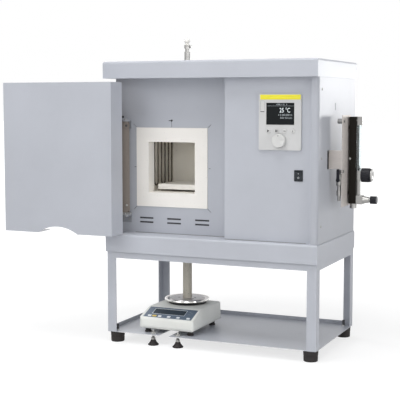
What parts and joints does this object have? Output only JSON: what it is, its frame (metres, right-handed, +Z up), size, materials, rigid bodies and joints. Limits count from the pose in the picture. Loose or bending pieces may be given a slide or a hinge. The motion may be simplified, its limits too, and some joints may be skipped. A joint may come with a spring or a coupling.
{
  "type": "high-temperature furnace",
  "caption": "Bench furnace on an open stand: parallel-swing door, fibre chamber with hanging heating elements, controller, side gas unit, and a balance below weighing the sample plate.",
  "frame": {"origin": "middle of the object's box in plan, door open, on the surface that the rubber feet stand on", "axes": "+X to the right as seen from the front, +Y to the rear, +Z up; the door opens to -X"},
  "size_m": [1.0752, 0.4668, 0.907],
  "materials": {
    "rubber": "matt black rubber",
    "frame_paint": "light grey powder coat",
    "tray_paint": "light grey powder coat",
    "case_paint": "light grey powder coat",
    "side_paint": "pale grey powder coat",
    "panel_paint": "light grey powder coat",
    "face_paint": "light grey powder coat",
    "screw_steel": "zinc plated",
    "bracket_steel": "plain stainless sheet",
    "arm_steel": "plain stainless sheet",
    "chain_steel": "oiled steel",
    "fitting_chrome": "nickel plated",
    "collar_fibre": "off-white fibre board",
    "chamber_fibre": "fired fibre board",
    "floor_fibre": "dense fibre board",
    "backup_fibre": "soft fibre board",
    "tube_ceramic": "unglazed alumina",
    "plate_ceramic": "unglazed alumina",
    "element_rod": "fired silicide with a glassy skin",
    "clamp_aluminium": "bare",
    "bezel_plastic": "light grey moulding",
    "key_plastic": "light grey keys",
    "screen_glass": "dark display window",
    "switch_plastic": "black",
    "gland_plastic": "black",
    "gear_grey": "grey housings",
    "meter_black": "black anodised",
    "clear_tube": "clear glass",
    "knob_black": "black",
    "balance_plastic": "off-white moulding",
    "keypad_foil": "blue-grey foil",
    "pan_steel": "polished stainless"
  },
  "bodies": {
    "furnace": {"rubber_feet": "rubber", "stand_legs": "frame_paint", "stand_rails": "frame_paint", "tray_shelf": "tray_paint", "case_fasteners": "screw_steel", "plinth": "case_paint", "hood": "case_paint", "side_panel_right": "side_paint", "side_panel_left": "case_paint", "rear_panel": "case_paint", "rear_fittings": "gland_plastic", "control_panel": "panel_paint", "face_plate": "face_paint", "collar": "collar_fibre", "chamber_wall_boards": "chamber_fibre", "chamber_roof_board": "chamber_fibre", "chamber_floor_board": "floor_fibre", "backup_insulation": "backup_fibre", "inner_casing": "bracket_steel", "heating_elements": "element_rod", "element_holders": "floor_fibre", "element_clamps": "clamp_aluminium", "hinge_brackets": "face_paint", "swing_shaft": "chain_steel", "controller_body": "bezel_plastic", "controller_display": "screen_glass", "switch_frame": "switch_plastic", "switchgear": "gear_grey", "gas_bracket": "bracket_steel", "flowmeter_body": "meter_black", "flow_tube": "clear_tube", "gas_fittings": "fitting_chrome", "balance_housing": "balance_plastic", "balance_keypad": "keypad_foil", "balance_display": "screen_glass", "thermocouple_gland": "fitting_chrome", "jog_spindle": "chain_steel", "thermocouple": "plate_ceramic"},
    "arm": {"swing_arm": "arm_steel", "door_chain": "chain_steel"},
    "door": {"door_shell": "case_paint", "door_insulation": "collar_fibre", "door_liner": "bracket_steel", "door_pivots": "bracket_steel"},
    "start_key": {"key_start": "key_plastic"},
    "menu_key": {"key_menu": "key_plastic"},
    "back_key": {"key_back": "key_plastic"},
    "info_key": {"key_info": "key_plastic"},
    "dial": {"jog_dial": "key_plastic"},
    "mains_rocker": {"rocker": "switch_plastic"},
    "socket_flap": {"usb_cover": "key_plastic"},
    "gas_knob": {"flow_knob": "knob_black"},
    "fine_knob": {"needle_knob": "knob_black"},
    "shutoff_lever": {"valve_lever": "knob_black"},
    "float": {"flow_float": "chain_steel"},
    "scale": {"weighing_pan": "pan_steel", "support_tube": "tube_ceramic", "sample_plate": "plate_ceramic"},
    "level_left": {"levelling_foot_left": "rubber"},
    "level_right": {"levelling_foot_right": "rubber"}
  },
  "joints": [
    {"name": "arm_swing", "type": "hinge", "parent": "furnace", "child": "arm", "pos_m": [-0.18594, -0.11864, 0.524], "axis": [0, 0, 1], "range_deg": [0, 153.7]},
    {"name": "door_parallel", "type": "hinge", "parent": "arm", "child": "door", "pos_m": [-0.33206, -0.19086, 0.524], "axis": [0, 0, 1], "range_deg": [-153.7, 0]},
    {"name": "press_start", "type": "slide", "parent": "furnace", "child": "start_key", "axis": [0, 1, 0], "range_m": [0, 0.001], "stiffness_N_per_m": 800, "springref_m": -0.0008},
    {"name": "press_menu", "type": "slide", "parent": "furnace", "child": "menu_key", "axis": [0, 1, 0], "range_m": [0, 0.001], "stiffness_N_per_m": 800, "springref_m": -0.0008},
    {"name": "press_back", "type": "slide", "parent": "furnace", "child": "back_key", "axis": [0, 1, 0], "range_m": [0, 0.001], "stiffness_N_per_m": 800, "springref_m": -0.0008},
    {"name": "press_info", "type": "slide", "parent": "furnace", "child": "info_key", "axis": [0, 1, 0], "range_m": [0, 0.001], "stiffness_N_per_m": 800, "springref_m": -0.0008},
    {"name": "dial_turn", "type": "hinge", "parent": "furnace", "child": "dial", "pos_m": [0.30456, -0.14264, 0.6103], "axis": [0, -1, 0], "continuous": true},
    {"name": "rocker_tip", "type": "hinge", "parent": "furnace", "child": "mains_rocker", "pos_m": [0.35906, -0.13364, 0.5146], "axis": [1, 0, 0], "range_deg": [-14, 0]},
    {"name": "flap_open", "type": "hinge", "parent": "furnace", "child": "socket_flap", "pos_m": [0.24946, -0.14184, 0.705], "axis": [0, 0, -1], "range_deg": [0, 100]},
    {"name": "gas_regulate", "type": "hinge", "parent": "furnace", "child": "gas_knob", "pos_m": [0.49406, 0.02436, 0.51], "axis": [1, 0, 0], "continuous": true},
    {"name": "gas_fine", "type": "hinge", "parent": "furnace", "child": "fine_knob", "pos_m": [0.51956, 0.02436, 0.44], "axis": [1, 0, 0], "continuous": true},
    {"name": "gas_shutoff", "type": "hinge", "parent": "furnace", "child": "shutoff_lever", "pos_m": [0.44506, -0.04664, 0.499], "axis": [0, 1, 0], "range_deg": [0, 90]},
    {"name": "float_rise", "type": "slide", "parent": "furnace", "child": "float", "axis": [0, 0, 1], "range_m": [0, 0.105]},
    {"name": "weigh", "type": "slide", "parent": "furnace", "child": "scale", "axis": [0, 0, -1], "range_m": [0, 0.001], "stiffness_N_per_m": 60000, "springref_m": -0.001},
    {"name": "level_left_turn", "type": "hinge", "parent": "furnace", "child": "level_left", "pos_m": [-0.08694, -0.13964, 0.02], "axis": [0, 0, 1], "continuous": true},
    {"name": "level_right_turn", "type": "hinge", "parent": "furnace", "child": "level_right", "pos_m": [-0.00694, -0.13964, 0.02], "axis": [0, 0, 1], "continuous": true}
  ],
  "couplings": [
    {"joint": "door_parallel", "follows": "arm_swing", "ratio": -1}
  ]
}
